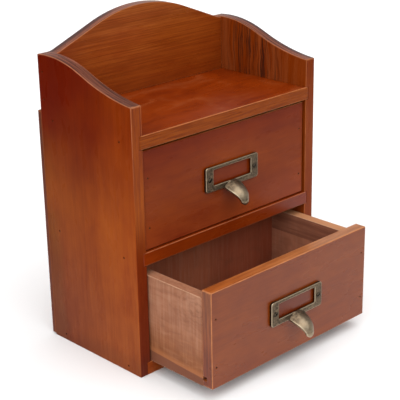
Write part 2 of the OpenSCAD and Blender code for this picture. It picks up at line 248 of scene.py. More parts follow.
def left_side_figure_and_shade(tree, base):
    """Painted light and shade: darker and redder towards the rear and the top, brighter and more orange in front, and
    duller and bluer towards the bottom as a painted reflection of the floor.
    """
    place, (_, y, z) = spot(tree)
    soft = span(tree, noise(tree, place, 16, 3), 0.2, 0.8, -0.015, 0.015)
    y, z = maths(tree, "ADD", y, soft), maths(tree, "ADD", z, soft)
    rear = span(tree, y, -0.045, 0.035)
    # Painted light in front and painted shade towards the rear.
    base = mix(tree, span(tree, y, -0.045, 0.015, 1, 0), base, colour(1.24, 1.38, 1.5), "MULTIPLY")
    base = mix(tree, rear, base, colour(0.85, 0.92, 1.5), "MULTIPLY")
    # Painted reflection of the floor: duller and bluer towards the bottom.
    base = mix(tree, span(tree, z, 0.01, 0.13, 1, 0), base, colour(0.765, 0.89, 4.0), "MULTIPLY")
    # Painted shade, darker and redder, high up at the rear.
    high = product(tree, span(tree, z, 0.115, 0.205), span(tree, rear, 0, 1, 0.6, 1.0))
    base = mix(tree, high, base, colour(0.56, 0.165, 0.1), "MULTIPLY")
    lines = noise(tree, stretched(tree, place, 900, 900, 24), 1, 3, 0.6)
    streaked = mix(tree, span(tree, lines, 0.36, 0.62), colour(0.16, 0.042, 0.022), colour(0.35, 0.090, 0.018))
    base = mix(tree, product(tree, facing(tree, "y"), span(tree, z, 0.085, 0.13, 0, 0.5)), base, streaked)
    # Painted shade on the front edge beside the lower drawer.
    shade = product(tree, facing(tree, "y"), span(tree, z, 0.085, 0.145, 0.85, 0))
    base = mix(tree, shade, base, colour(0.46, 0.245, 0.5), "MULTIPLY")
    strip = product(tree, span(tree, y, 0.028, 0.052), span(tree, z, 0.16, 0.19, 1, 0))
    base = mix(tree, strip, base, colour(0.78, 0.93, 1.1), "MULTIPLY")
    # Painted shade along the foot, by the floor.
    base = mix(tree, span(tree, z, 0.0, 0.014, 1, 0), base, colour(0.84, 0.87, 1), "MULTIPLY")
    base = edge_grain_and_sheen(tree, base, "x")
    # Painted shade on the upper edge towards the front, leaving it paler near the crown as a painted highlight.
    ogee_edge = product(tree, facing(tree, "+z"), span(tree, y, -0.005, 0.035, 0.9, 0.0))
    return mix(tree, ogee_edge, base, colour(0.62, 0.66, 0.74), "MULTIPLY")


def right_side_figure(tree, base):
    place, (x, y, z) = spot(tree)
    sway = add(tree, "ShaderNodeVectorMath", {0: (0, 0.006, 0), 3: noise(tree, place, 34, 2)}, operation="SCALE").outputs[0]
    bent = add(tree, "ShaderNodeVectorMath", {0: place, 1: sway}, operation="ADD").outputs[0]
    warm = span(tree, noise(tree, stretched(tree, bent, 30, 240, 12), 1, 3, 0.6), 0.40, 0.62, 0.0, 0.7)
    base = mix(tree, product(tree, warm, span(tree, y, -0.055, -0.025, 0.25, 1.0)), base, colour(0.26, 0.060, 0.014))
    lines = span(tree, noise(tree, stretched(tree, bent, 40, 620, 26), 1, 3, 0.65), 0.48, 0.60)
    zone = product(tree, span(tree, y, -0.034, -0.012), span(tree, y, 0.012, 0.045, 1, 0), span(tree, z, 0.17, 0.2))
    base = mix(tree, product(tree, lines, zone, 0.85), base, colour(0.032, 0.010, 0.006))
    base = edge_grain_and_sheen(tree, base, "x")
    outer = product(tree, facing(tree, "+z"), span(tree, x, 0.0945, 0.0980, 0.0, 0.8))
    return mix(tree, outer, base, colour(0.06, 0.028, 0.026))


def crest_figure_and_shade(tree, base):
    place, (x, y, z) = spot(tree)
    # Painted shade at the left end, beside the left side, and towards the foot, where the crest meets the gallery.
    base = mix(tree, span(tree, x, -0.09, -0.045, 0.6, 0.0), base, colour(0.66, 0.48, 1.0), "MULTIPLY")
    base = mix(tree, span(tree, z, 0.19, 0.245, 0.8, 0.0), base, colour(0.70, 0.55, 0.5), "MULTIPLY")
    # Painted sheen, paler and bluer, in a patch left of the middle and along the top.
    left = product(tree, span(tree, x, -0.015, 0.03, 1, 0), span(tree, z, 0.205, 0.235), span(tree, z, 0.238, 0.252, 1, 0.2))
    base = mix(tree, left, base, colour(1.35, 1.6, 2.2), "MULTIPLY")
    base = mix(tree, span(tree, z, 0.238, 0.256), base, colour(1.15, 1.4, 2.2), "MULTIPLY")
    brushed = noise(tree, stretched(tree, place, 18, 1300, 1300), 1, 3, 0.7)
    base = mix(tree, span(tree, brushed, 0.35, 0.65, 0.0, 0.55), base, colour(0.14, 0.020, 0.002))
    base = edge_grain_and_sheen(tree, base, "y")
    rear = product(tree, facing(tree, "+z"), span(tree, y, 0.0455, 0.0490), span(tree, x, -0.035, -0.010, 0.85, 0.0))
    return mix(tree, rear, base, colour(0.045, 0.017, 0.016))


def gallery_figure_and_reflections(tree, base):
    """Painted reflections on the lacquer: pale smears between darker patches."""
    place, _ = spot(tree)
    smear = noise(tree, stretched(tree, place, 24, 44, 24), 1, 4, 0.55, 0.8)
    # Painted reflections: pale smears, with darker patches between them.
    base = mix(tree, span(tree, smear, 0.50, 0.68, 0.0, 0.38), base, colour(0.30, 0.072, 0.020))
    base = mix(tree, span(tree, smear, 0.32, 0.48, 0.55, 0.0), base, colour(0.13, 0.013, 0.001))
    lines = noise(tree, stretched(tree, place, 30, 900, 900), 1, 3, 0.7)
    front = mix(tree, span(tree, lines, 0.35, 0.65), colour(0.172, 0.027, 0.001), colour(0.29, 0.060, 0.003))
    return mix(tree, facing(tree, "y"), base, front)


def face_figure_and_shade(tree, base):
    """Drawer front: paler upper edge and end grain, with painted shade inside the label window."""
    place, _ = spot(tree)
    lines = noise(tree, stretched(tree, place, 40, 500, 500), 1, 3, 0.6)
    top = mix(tree, span(tree, lines, 0.35, 0.65), colour(0.30, 0.095, 0.025), colour(0.46, 0.18, 0.065))
    _, (x, _, z) = spot(tree)
    top = mix(tree, span(tree, x, -0.09, 0.05, 0.9, 0.0), top, colour(0.80, 0.50, 0.20), "MULTIPLY")
    base = mix(tree, product(tree, facing(tree, "+z"), 0.95), base, top)
    # Painted shade inside the label window, in the recess that the frame's rim stands around.
    beside = maths(tree, "ABSOLUTE", maths(tree, "SUBTRACT", x, 0.0025))
    above = maths(tree, "ABSOLUTE", maths(tree, "SUBTRACT", z, 0.0400))
    label_shade = product(tree, span(tree, beside, 0.0225, 0.0255, 0.9, 0.0), span(tree, above, 0.0075, 0.0095, 1.0, 0.0))
    base = mix(tree, label_shade, base, colour(0.78, 0.62, 0.75), "MULTIPLY")
    ends = noise(tree, stretched(tree, place, 500, 420, 30), 1, 3, 0.6)
    end = mix(tree, span(tree, ends, 0.35, 0.65), colour(0.13, 0.030, 0.007), colour(0.27, 0.075, 0.017))
    end = mix(tree, span(tree, z, 0.01, 0.07, 1, 0), end, colour(0.66, 0.40, 0.3), "MULTIPLY")
    return mix(tree, product(tree, facing(tree, "x"), 0.9), base, end)


def upper_face_figure_and_shade(tree, base):
    """The shut drawer's front: darker under the gallery as painted shade, and paler and bluer at its foot as a
    painted sheen.
    """
    _, (_, _, z) = spot(tree)
    base = mix(tree, span(tree, z, 0.045, 0.080), base, colour(0.78, 0.54, 0.5), "MULTIPLY")
    base = mix(tree, span(tree, z, 0.0, 0.035, 1, 0), base, colour(1.17, 1.28, 6.0), "MULTIPLY")
    return face_figure_and_shade(tree, base)


def saw_marks(tree, base, amount=0.35):
    """Fine marks across the board from the saw and the sander, with darker and paler clouds."""
    place, _ = spot(tree)
    marks = noise(tree, stretched(tree, place, 420, 420, 26), 1, 3, 0.65)
    base = mix(tree, product(tree, span(tree, marks, 0.38, 0.70), amount), base, colour(0.52, 0.31, 0.21))
    cloud = noise(tree, stretched(tree, place, 40, 40, 55), 1, 3, 0.6)
    return mix(tree, span(tree, cloud, 0.42, 0.70, 0.0, 0.45), base, colour(0.20, 0.075, 0.040))


def box_left_figure(tree, base):
    """Left side of a drawer: a knot's swirl near the front, darker towards the bottom, and a slanting line near its
    foot with a darker band below and a paler strip above.
    """
    base = saw_marks(tree, base, 0.28)
    place, (_, y, z) = spot(tree)
    base = mix(tree, span(tree, z, 0.006, 0.050, 0.9, 0.0), base, colour(0.68, 0.51, 0.30), "MULTIPLY")
    out = add(tree, "ShaderNodeVectorMath", {0: place, 1: (0, 0.014, 0.060)}, operation="SUBTRACT").outputs[0]
    wide = add(tree, "ShaderNodeVectorMath", {0: out, 1: (0, 0.6, 1.0)}, operation="MULTIPLY").outputs[0]
    away = add(tree, "ShaderNodeVectorMath", {0: wide}, operation="LENGTH").outputs["Value"]
    drift = noise(tree, place, 70, 4, 0.6)
    rings = maths(tree, "ADD", maths(tree, "MULTIPLY", away, 1500), maths(tree, "MULTIPLY", drift, 26))
    swirl = product(tree, span(tree, maths(tree, "SINE", rings), 0.1, 1.0), span(tree, away, 0.003, 0.024, 0.35, 0.0))
    base = mix(tree, swirl, base, colour(0.17, 0.065, 0.035))
    flame = noise(tree, stretched(tree, place, 40, 22, 120), 1, 4, 0.6, 1.6)
    base = mix(tree, span(tree, flame, 0.50, 0.64, 0.0, 0.32), base, colour(0.20, 0.078, 0.043))
    base = mix(tree, span(tree, flame, 0.28, 0.46, 0.15, 0.0), base, colour(0.50, 0.27, 0.175))
    line = maths(tree, "SUBTRACT", z, span(tree, y, 0.0, 0.1035, 0.0063, 0.0103))
    below = span(tree, line, -0.0004, 0.0, span(tree, y, 0.0, 0.07, 1.0, 0.3), 0.0)
    base = mix(tree, below, base, colour(0.66, 0.64, 0.75), "MULTIPLY")
    base = mix(tree, span(tree, line, 0.0, 0.0006, 0.75, 0.0), base, colour(0.17, 0.062, 0.036))
    strip = product(tree, span(tree, line, -0.0002, 0.0006), span(tree, line, 0.002, 0.006, 0.55, 0.0))
    base = mix(tree, strip, base, colour(0.38, 0.14, 0.055))
    return mix(tree, facing(tree, "+z"), base, colour(0.95, 0.92, 0.88), "MULTIPLY")


def box_right_figure(tree, base):
    """Right side of a drawer: its upper strip is a darker piece."""
    base = saw_marks(tree, base, 0.15)
    place, (_, _, z) = spot(tree)
    lines = noise(tree, stretched(tree, place, 60, 18, 420), 1, 3, 0.6)
    strip = product(tree, span(tree, z, 0.0543, 0.0548), span(tree, lines, 0.3, 0.7, 0.45, 0.9))
    base = mix(tree, strip, base, colour(0.19, 0.064, 0.036))
    return mix(tree, product(tree, facing(tree, "+z"), 0.85), base, colour(0.50, 0.23, 0.105))


def box_back_figure(tree, base):
    """Back of a drawer: paler at its left, darker at its right."""
    _, (x, _, _) = spot(tree)
    base = saw_marks(tree, base, 0.12)
    base = mix(tree, span(tree, x, -0.080, -0.045, 1, 0), base, colour(1.22, 1.28, 1.3), "MULTIPLY")
    return mix(tree, span(tree, x, -0.015, 0.030), base, colour(0.80, 0.64, 0.60), "MULTIPLY")


def plywood_edge_shade(tree, base):
    """The panel's edges, darkened as painted shade."""
    edges = maths(tree, "MAXIMUM", facing(tree, "x"), facing(tree, "z"))
    return mix(tree, product(tree, edges, 0.9), base, colour(0.085, 0.014, 0.003))


def metal(name, deep, middle, bright, rough=(0.28, 0.52), low=0.45, high=1.05):
    """Patinated metal: dark in its pits, bright where the attribute wear says that it is rubbed."""
    material, tree = new_material(name)
    place = add(tree, "ShaderNodeTexCoord").outputs["Object"]
    edge = add(tree, "ShaderNodeAttribute", attribute_name="wear").outputs["Fac"]
    mottle = noise(tree, place, 620, 4, 0.6)
    dents = noise(tree, place, 330, 2, 0.5, 0.4)
    pits = span(tree, maths(tree, "SUBTRACT", mottle, maths(tree, "MULTIPLY", edge, 0.35)), 0.40, 0.60)
    base = mix(tree, pits, colour(*middle), colour(*deep))
    rubbed = span(tree, maths(tree, "ADD", edge, maths(tree, "MULTIPLY", mottle, 0.5)), low, high)
    stain = span(tree, noise(tree, place, 190, 3, 0.6), 0.46, 0.68, 0.0, 0.6)
    base = mix(tree, stain, base, colour(*deep))
    base = mix(tree, rubbed, base, colour(*bright))
    # Painted shade on the plate's side walls, next to the wood.
    depth = add(tree, "ShaderNodeSeparateXYZ", {0: place}).outputs["Y"]
    wall_shade = product(tree, span(tree, depth, -0.0022, -0.0016), facing(tree, "y", 0.3, 0.8, 0.9, 0.0))
    base = mix(tree, wall_shade, base, colour(*(0.3 * c for c in deep)))
    sheen = span(tree, maths(tree, "SUBTRACT", mottle, maths(tree, "MULTIPLY", edge, 0.5)), 0.1, 0.6, *rough)
    height = maths(tree, "SUBTRACT", dents, maths(tree, "MULTIPLY", pits, 0.3))
    relief = add(tree, "ShaderNodeBump", {"Strength": 0.3, "Distance": 0.0003, "Height": height})
    shader = add(
        tree,
        "ShaderNodeBsdfPrincipled",
        {"Base Color": base, "Roughness": sheen, "Normal": relief.outputs[0]},
    )
    shader.inputs["Metallic"].default_value = 1.0
    add(tree, "ShaderNodeOutputMaterial", {"Surface": shader.outputs[0]})
    return material


STAIN_DARK, STAIN_LIGHT, STAIN_WORN = (0.19, 0.025, 0.0012), (0.33, 0.066, 0.0030), (0.50, 0.19, 0.07)
FACE_DARK, FACE_LIGHT = (0.16, 0.019, 0.0010), (0.25, 0.042, 0.0020)
BOX_DARK, BOX_LIGHT, BOX_WORN = (0.27, 0.104, 0.054), (0.40, 0.175, 0.098), (0.50, 0.29, 0.18)
FLOOR_DARK, FLOOR_LIGHT = (0.085, 0.022, 0.010), (0.15, 0.050, 0.026)


def make_materials():
    stain = (STAIN_DARK, STAIN_LIGHT, STAIN_WORN)
    face = dict(figure_and_shade=face_figure_and_shade, streaks=0.22, blotch=0.5, mottle=1.0)
    bare = dict(rough=(0.55, 0.7), gloss=0.12)
    box = (BOX_DARK, BOX_LIGHT, BOX_WORN)
    return {
        "case_wood": wood("stained_case", *stain, gloss=0.14),
        "middle_shelf": wood("stained_shelf", (0.14, 0.012, 0.0008), (0.25, 0.033, 0.0018), STAIN_WORN, wear=0.5,
                             gloss=0.27),
        # The left side's arrises are pinker and pale only high up: wear with a painted highlight.
        "side_left": wood("stained_left_side", STAIN_DARK, STAIN_LIGHT, (0.54, 0.22, 0.105), streaks=0.2, fibre=0.9, wear=0.6, worn_from=(0.12, 0.24), gloss=0.045,
                          figure_and_shade=left_side_figure_and_shade),
        # Darker than the left side's stain: painted shade of the right side's inner face, shaded by the case.
        "side_right": wood("stained_right_side", (0.14, 0.017, 0.0010), (0.24, 0.040, 0.0024), STAIN_WORN, wear=0.4,
                           gloss=0.09, figure_and_shade=right_side_figure),
        "top_board": wood("stained_gallery", (0.16, 0.017, 0.0009), (0.26, 0.035, 0.0018), STAIN_WORN, streaks=0.1,
                          gloss=0.12, figure_and_shade=gallery_figure_and_reflections),
        "crest_board": wood("stained_crest", (0.23, 0.033, 0.0035), (0.375, 0.084, 0.0095), STAIN_WORN, blotch=0.45,
                            wear=0.5, gloss=0.14, figure_and_shade=crest_figure_and_shade),
        "upper_face": wood("stained_upper_face", FACE_DARK, FACE_LIGHT, STAIN_WORN, wear=0.0, gloss=0.115,
                           **{**face, "figure_and_shade": upper_face_figure_and_shade}),
        "lower_face": wood("stained_lower_face", (0.135, 0.019, 0.0009), (0.217, 0.043, 0.0020), STAIN_WORN, gloss=0.36, **face),
        "box_left": wood("bare_box_left", *box, figure_and_shade=box_left_figure, fibre=0.5, **bare),
        "box_right": wood("bare_box_right", (0.38, 0.130, 0.067), (0.54, 0.212, 0.120), BOX_WORN, figure_and_shade=box_right_figure, **bare),
        "drawer_box_wood": wood("bare_box_back", (0.26, 0.066, 0.029), (0.38, 0.112, 0.054), BOX_WORN,
                                figure_and_shade=box_back_figure, **bare),
        "drawer_plywood": wood("bare_drawer_floor", FLOOR_DARK, FLOOR_LIGHT, BOX_WORN, **bare),
        "back_plywood": wood("stained_plywood", *stain, rough=(0.45, 0.6), pores=0.4, wear=0.3,
                             figure_and_shade=plywood_edge_shade),
        "antique_brass": metal("antique_brass", (0.08, 0.058, 0.039), (0.19, 0.137, 0.086), (0.51, 0.42, 0.29)),
        "screw_metal": metal("bronzed_steel", (0.02, 0.015, 0.012), (0.12, 0.095, 0.065), (0.48, 0.40, 0.29)),
        "pin_steel": metal("dull_steel", (0.05, 0.035, 0.03), (0.08, 0.06, 0.05), (0.2, 0.16, 0.13)),
    }


# Boards


def ogee_radii(run, fall, steepness):
    a = steepness * math.atan(fall / run)
    return (run * math.sin(a) - fall * math.cos(a)) / (1 - math.cos(a))


def ogee(run, fall, steepness, crown_r=None, foot_r=None):
    """Points of an ogee as distance from its crown and drop below it."""
    a = steepness * math.atan(fall / run)
    total = ogee_radii(run, fall, steepness)
    crown_r = total - foot_r if crown_r is None else crown_r
    foot_r = total - crown_r
    turns = [a * i / ARC_STEPS for i in range(ARC_STEPS + 1)]
    points = [(crown_r * math.sin(t), crown_r * (1 - math.cos(t))) for t in turns]
    points += [(run - foot_r * math.sin(t), fall - foot_r * (1 - math.cos(t))) for t in reversed(turns)]
    return points


def rectangle(a0, b0, a1, b1, corner=CORNER):
    return [(a0, b0, corner), (a1, b0, corner), (a1, b1, corner), (a0, b1, corner)]


def outline_spokes(outline):
    """For each point of a closed outline, a function from inset to place, and whether it is on a corner."""
    size = len(outline)
    area = sum(
        outline[i][0] * outline[(i + 1) % size][1] - outline[(i + 1) % size][0] * outline[i][1] for i in range(size)
    )
    turn = 1 if area > 0 else -1
    spokes = []
    clear = ARRIS + FADE + 0.8
    for i, (a, b, corner) in enumerate(outline):
        here = Vector((a, b))
        before, after = Vector(outline[i - 1][:2]), Vector(outline[(i + 1) % size][:2])
        back, on = (here - before).normalized(), (after - here).normalized()
        n_back, n_on = Vector((-back.y, back.x)) * turn, Vector((-on.y, on.x)) * turn
        mitre = (n_back + n_on) / (1 + n_back.dot(n_on))
        if not corner:
            spokes.append((lambda d, p=here, m=mitre: p + m * d, 0))
            continue
        if (here - before).length > 2.5 * clear:
            spokes.append((lambda d, p=here - back * clear, n=n_back: p + n * d, 0))
        centre = here + mitre * corner
        for k in range(4):
            out = (-n_back).lerp(-n_on, k / 3).normalized()
            spokes.append((
                lambda d, p=here, m=mitre, c=centre, o=out, r=corner: c + o * (r - d) if d < r else p + m * d,
                1,
            ))
        if (after - here).length > 2.5 * clear:
            spokes.append((lambda d, p=here + on * clear, n=n_on: p + n * d, 0))
    return spokes


TO_XYZ = {"x": lambda a, b, c: (c, a, b), "y": lambda a, b, c: (a, c, b), "z": lambda a, b, c: (a, b, c)}


def slab(outline, low, high, normal, arris=ARRIS, fresh=None):
    """Board from low to high along normal, with rounded arrises, as a mesh with the corner attribute wear."""
    spokes = outline_spokes(outline)
    fade = min(FADE, 0.3 * (high - low))
    profile = [(arris + fade, 0, 0.0), (arris, 0, 0.7)]
    for k in (1, 2, 3):
        t = math.pi / 8 * k
        profile.append((arris * (1 - math.sin(t)), arris * (1 - math.cos(t)), 1.0))
    profile += [(0, arris, 0.7), (0, arris + fade, None)]
    rings = [(inset, low + c, wear) for inset, c, wear in profile]
    rings += [(inset, high - c, wear) for inset, c, wear in reversed(profile)]
    place = TO_XYZ[normal]
    mesh = bmesh.new()
    layer = mesh.loops.layers.float.new("wear")
    rows, worn = [], {}
    for inset, c, wear in rings:
        row = []
        for spoke, is_corner in spokes:
            a, b = spoke(inset)
            vertex = mesh.verts.new(Vector(place(a, b, c)) * MM)
            worn[vertex] = wear if wear is not None else float(is_corner)
            if fresh and fresh(vertex.co / MM):
                worn[vertex] = 0.0
            row.append(vertex)
        rows.append(row)
    size = len(spokes)
    for lower, upper in zip(rows, rows[1:]):
        for i in range(size):
            j = (i + 1) % size
            mesh.faces.new((lower[i], lower[j], upper[j], upper[i]))
    mesh.faces.new(rows[0])
    mesh.faces.new(rows[-1])
    for face in mesh.faces:
        for loop in face.loops:
            loop[layer] = worn[loop.vert]
    bmesh.ops.remove_doubles(mesh, verts=mesh.verts, dist=1e-7)
    bmesh.ops.recalc_face_normals(mesh, faces=mesh.faces)
    return as_data(mesh, "board")


def box_cutter(boxes):
    """One mesh of boxes, each given by its lowest and highest corner."""
    mesh = bmesh.new()
    for lo, hi in boxes:
        lo, hi = Vector(lo), Vector(hi)
        middle, size = (lo + hi) / 2 * MM, (hi - lo) * MM
        bmesh.ops.create_cube(mesh, size=1, matrix=Matrix.Translation(middle) @ Matrix.Diagonal((*size, 1)))
    return mesh


def pin_cutter(pins, radius=PIN_R):
    """One mesh of round holes, each given by its start, its direction and its depth."""
    mesh = bmesh.new()
    radius = (radius + HOLE_FIT) * MM
    for start, way, depth in pins:
        start, way = Vector(start), Vector(way)
        turn = way.to_track_quat("Z", "Y").to_matrix().to_4x4()
        middle = Matrix.Translation((start + way * (depth - 1) / 2) * MM)
        bmesh.ops.create_cone(
            mesh, cap_ends=True, segments=20, radius1=radius, radius2=radius, depth=(depth + 1) * MM,
            matrix=middle @ turn,
        )
    return mesh


def screw_cutter(screws):
    return pin_cutter(screws, SCREW_R)


def as_data(mesh, name):
    data = bpy.data.meshes.new(name)
    mesh.to_mesh(data)
    mesh.free()
    return data


def new_object(name, data):
    obj = bpy.data.objects.new(name, data)
    bpy.context.scene.collection.objects.link(obj)
    return obj


def cut_out(data, *cutters):
    """The mesh with each cutter's shapes cut out of it in turn, because shapes of one cutter may not overlap."""
    tools = [new_object("board_cutter", as_data(mesh, "cutter")) for mesh in cutters]
    blank = new_object("board_blank", data)
    for tool in tools:
        modifier = blank.modifiers.new("cut", "BOOLEAN")
        modifier.operation, modifier.object, modifier.solver = "DIFFERENCE", tool, "EXACT"
    graph = bpy.context.evaluated_depsgraph_get()
    result = bpy.data.meshes.new_from_object(blank.evaluated_get(graph))
    for obj in (blank, *tools):
        old = obj.data
        bpy.data.objects.remove(obj)
        bpy.data.meshes.remove(old)
    return result


def weighted(obj):
    """Smooth rounded arrises beside flat faces, with sharp cuts."""
    for polygon in obj.data.polygons:
        polygon.use_smooth = True
    obj.data.set_sharp_from_angle(angle=math.radians(40))
    modifier = obj.modifiers.new("weighted", "WEIGHTED_NORMAL")
    modifier.keep_sharp = True
    modifier.weight = 100


def set_grain(data, along, normal, shift, origin):
    """Attributes grain, metres along the grain, across it in the wide face and through, and spot, from the origin."""
    axes = "xyz"
    across = next(a for a in axes if a not in (along, normal))
    order = [axes.index(a) for a in (along, across, normal)]
    layer = data.attributes.new("grain", "FLOAT_VECTOR", "POINT")
    for i, vertex in enumerate(data.vertices):
        layer.data[i].vector = [vertex.co[axis] + s for axis, s in zip(order, shift)]
    layer = data.attributes.new("spot", "FLOAT_VECTOR", "POINT")
    for i, vertex in enumerate(data.vertices):
        layer.data[i].vector = vertex.co - origin


SHIFTS = random.Random(7)


def board(node, normal, along, material, outline=None, boxes=(), pins=(), screws=(), arris=ARRIS, fresh=None,
          origin=(0, 0, 0)):
    """A board in the place of a CAD node, with its own grain. Where fresh(place) holds, its arrises aren't worn."""
    lo, hi = (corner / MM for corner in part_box(node))
    axis = "xyz".index(normal)
    if outline is None:
        a, b = [i for i in range(3) if i != axis]
        outline = rectangle(lo[a], lo[b], hi[a], hi[b])
    data = slab(outline, lo[axis], hi[axis], normal, arris, fresh)
    cutters = [make(shapes) for make, shapes in ((box_cutter, boxes), (pin_cutter, pins), (screw_cutter, screws)) if shapes]
    if cutters:
        data = cut_out(data, *cutters)
    set_grain(data, along, normal, [SHIFTS.uniform(0, 3) for _ in range(3)], Vector(origin) * MM)
    obj = new_object(node + "_board", data)
    data.materials.clear()
    data.materials.append(material)
    weighted(obj)
    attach(obj, BODY_OF[node])
    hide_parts(node)
    return obj


def case_pins(low, high, front, rear, levels, crest_y, crest_zs):
    pins = []
    for side in (-1, 1):
        x = high if side > 0 else low
        places = [(y, z) for y in (front + 14.5, rear - 14.5) for z in levels]
        places += [(crest_y, z) for z in crest_zs]
        pins += [((x, y, z), (-side, 0, 0), PIN_SET + PIN_LEN + HOLE_FIT) for y, z in places]
    return pins


def build_case(materials):
    left_lo, left_hi = (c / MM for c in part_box("side_left"))
    right_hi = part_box("side_right")[1] / MM
    front, rear, crown = left_lo.y, left_hi.y, left_hi.z
    crown_y = rear - SIDE_CROWN_BACK
    reach = crown_y - front
    curve = [(d, drop) for d, drop in ogee(**SIDE_OGEE)]
    below = [p for p in curve if p[0] < reach]
    (d0, z0), (d1, z1) = below[-1], curve[len(below)]
    end_drop = z0 + (z1 - z0) * (reach - d0) / (d1 - d0)
    r = SIDE_OGEE["crown_r"]
    over = [(crown_y + d, crown - r + math.sqrt(r * r - d * d)) for d in (SIDE_CROWN_BACK * i / 4 for i in (4, 3, 2, 1))]
    side = [(front, 0, CORNER), (rear, 0, CORNER), (*over[0], CORNER)]
    side += [(y, z, 0) for y, z in over[1:]]
    side += [(crown_y - d, crown - drop, 0) for d, drop in below if reach - d > 1.5]
    side.append((front, crown - end_drop, CORNER))

    shelves = {n: [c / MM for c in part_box(n)] for n in ("bottom_board", "middle_shelf", "top_board")}
    levels = [(lo.z + hi.z) / 2 for lo, hi in shelves.values()]
    crest_lo, crest_hi = (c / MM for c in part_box("crest_board"))
    top = shelves["top_board"][1].z
    pins = case_pins(left_lo.x, right_hi.x, front, rear, levels, (crest_lo.y + crest_hi.y) / 2, (top + 10, top + 32))
    housings = []
    for name, (lo, hi) in shelves.items():
        under = 1 if name == "bottom_board" else 0.1
        housings.append(((lo.x - 0.1, front - 1, lo.z - under), (hi.x + 0.1, rear + 1, hi.z + 0.1)))
    for node in ("side_left", "side_right"):
        board(node, "x", "z", materials[node], outline=side, boxes=housings, pins=pins)
    for node in shelves:
        wood_of = materials.get(node, materials["case_wood"])
        board(node, "z", "x", wood_of, pins=pins, fresh=lambda p: abs(p.x) > 92)
    arch = ogee(**CREST_OGEE)
    half, peak, ends = crest_hi.x, crest_hi.z, arch[-1][1]
    crest = [(-half, crest_lo.z, CORNER), (half, crest_lo.z, CORNER), (half, peak - ends, CORNER)]
    crest += [(d, peak - drop, 0) for d, drop in reversed(arch[:-1])]
    crest += [(-d, peak - drop, 0) for d, drop in arch[1:-1]]
    crest.append((-half, peak - ends, CORNER))
    board("crest_board", "y", "x", materials["crest_board"], outline=crest, pins=pins)
    board("back_panel", "y", "x", materials["back_plywood"], arris=0.25)


def build_drawer(which, materials):
    node = lambda part: f"{which}_drawer_{part}"
    boxes = {part: [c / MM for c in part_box(node(part))]
             for part in ("front", "side_left", "side_right", "back", "bottom")}
    lo, hi = boxes["bottom"]
    groove = [((lo.x - 0.15, lo.y - 0.15, lo.z - 0.15), (hi.x + 0.15, hi.y + 0.15, hi.z + 0.15))]
    front_lo, front_hi = boxes["front"]
    through = [((front_lo.x - 1, lo.y - 0.15, lo.z - 0.15), (front_hi.x + 1, front_hi.y + 1, hi.z + 0.15))]
    side_lo = boxes["side_left"][0]
    back_lo, back_hi = boxes["back"]
    pins = []
    depth = PIN_SET + PIN_LEN + HOLE_FIT
    for side in (-1, 1):
        for z in (side_lo.z + 17.5, side_lo.z + 57):
            x = (boxes["side_left"][0].x + boxes["side_left"][1].x) / 2 * -side
            pins.append(((x, front_lo.y, z), (0, 1, 0), depth))
            edge = front_hi.x if side > 0 else front_lo.x
            pins.append(((edge, (back_lo.y + back_hi.y) / 2, z), (-side, 0, 0), depth))
    pull_lo, pull_hi = (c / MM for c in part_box(f"{which}_pull"))
    centre = Vector(((pull_lo.x + pull_hi.x) / 2, front_lo.y, pull_hi.z - PULL_H / 2))
    screws = [(centre + Vector((x, 0, 0)), (0, 1, 0), SCREW_LEN - PULL_T + HOLE_FIT)
              for x in (-SCREW_SPACING / 2, SCREW_SPACING / 2)]
    face, box = materials[f"{which}_face"], materials["drawer_box_wood"]
    origin = (0, front_lo.y, side_lo.z)
    board(node("front"), "y", "x", face, boxes=through, pins=pins, screws=screws, arris=0.65,
          origin=origin)
    for part in ("left", "right"):
        board(node(f"side_{part}"), "x", "y", materials[f"box_{part}"], boxes=groove, pins=pins,
              fresh=lambda p: p.y < front_hi.y + 1, origin=origin)
    board(node("back"), "y", "z", box, boxes=groove, pins=pins, origin=origin)
    board(node("bottom"), "z", "x", materials["drawer_plywood"], arris=0.2)
    return centre


# Pulls


def remeshed(data, voxel, rounds):
    """The shapes of a mesh fused into one skin and softened as a casting is."""
    blank = new_object("casting_blank", data)
    fuse = blank.modifiers.new("fuse", "REMESH")
    fuse.mode, fuse.voxel_size = "VOXEL", voxel * MM
    soften = blank.modifiers.new("soften", "SMOOTH")
    soften.factor, soften.iterations = 0.5, rounds
    graph = bpy.context.evaluated_depsgraph_get()
    result = bpy.data.meshes.new_from_object(blank.evaluated_get(graph))
    bpy.data.objects.remove(blank)
    bpy.data.meshes.remove(data)
    return result


def set_convexity(data, gain, polish=None):
    """Attribute wear: how sharply the surface bends outwards, plus polish(places) where hands rub it."""
    count = len(data.vertices)
    places, normals = np.empty(count * 3), np.empty(count * 3)
    data.vertices.foreach_get("co", places)
    data.vertices.foreach_get("normal", normals)
    places, normals = places.reshape(-1, 3), normals.reshape(-1, 3)
    edges = np.empty(len(data.edges) * 2, np.int32)
    data.edges.foreach_get("vertices", edges)
    edges = np.concatenate([edges.reshape(-1, 2), edges.reshape(-1, 2)[:, ::-1]])
    apart = places[edges[:, 0]] - places[edges[:, 1]]
    bend = (apart * normals[edges[:, 0]]).sum(1) / (apart ** 2).sum(1) * MM
    ties = np.bincount(edges[:, 0], minlength=count)
    value = np.bincount(edges[:, 0], bend, count) / ties
    for _ in range(2):
        value = (value + np.bincount(edges[:, 0], value[edges[:, 1]], count) / ties) / 2
    value = value * gain + (polish(places / MM) if polish else 0)
    layer = data.attributes.new("wear", "FLOAT", "POINT")
    layer.data.foreach_set("value", np.clip(value, 0, 1))


def bezier(p, t):
    return (1 - t) ** 3 * p[0] + 3 * (1 - t) ** 2 * t * p[1] + 3 * (1 - t) * t * t * p[2] + t ** 3 * p[3]


